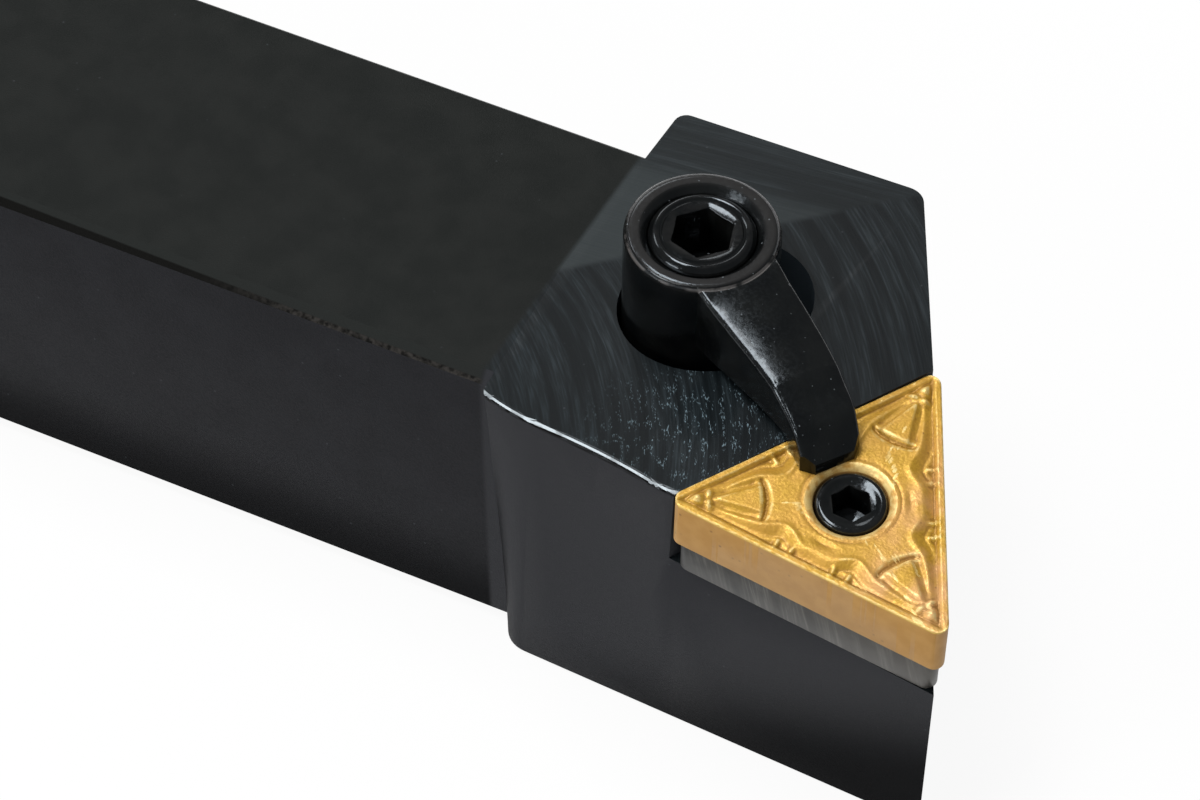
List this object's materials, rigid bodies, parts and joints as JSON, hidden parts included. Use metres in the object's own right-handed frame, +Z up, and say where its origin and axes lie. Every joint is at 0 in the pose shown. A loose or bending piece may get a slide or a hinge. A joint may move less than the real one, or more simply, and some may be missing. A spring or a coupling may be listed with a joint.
{
  "type": "turning tool holder",
  "caption": "Left-hand external turning tool holder: square shank, wedge-shaped head, triangular double-sided insert on a shim, lock pin, and a finger clamp on a differential screw.",
  "frame": {"origin": "on the shank's underside, midway across, at the shoulder where the head starts", "axes": "+X along the shank towards the cutting head, +Y to the back of the shank, +Z up"},
  "size_m": [0.1495, 0.0365, 0.0338],
  "materials": {
    "holder": "satin black oxide on ground and milled steel",
    "shim": "ground grey carbide",
    "insert": "golden coating on pressed carbide",
    "fasteners": "oiled black oxide",
    "clamp": "oiled black oxide on forged steel"
  },
  "bodies": {
    "holder": {"holder_body": "holder", "shim": "shim", "insert": "insert"},
    "pin": {"lock_pin": "fasteners"},
    "screw": {"clamp_screw": "fasteners"},
    "clamp": {"clamp": "clamp"}
  },
  "joints": [
    {"name": "screw_turn", "type": "hinge", "parent": "holder", "child": "screw", "pos_m": [0.0107, 0, 0.02622], "axis": [0.0569, -0.0404, 0.9976], "range_deg": [0, 720]},
    {"name": "clamp_lift", "type": "slide", "parent": "holder", "child": "clamp", "axis": [0.0569, -0.0404, 0.9976], "range_m": [0, 0.004]},
    {"name": "pin_turn", "type": "hinge", "parent": "holder", "child": "pin", "pos_m": [0.02871, -0.01277, 0.02664], "axis": [0.1038, -0.1212, 0.9872], "range_deg": [0, 720]}
  ],
  "couplings": [
    {"joint": "screw_turn", "follows": "clamp_lift", "rad_per_m": 3141.6}
  ]
}
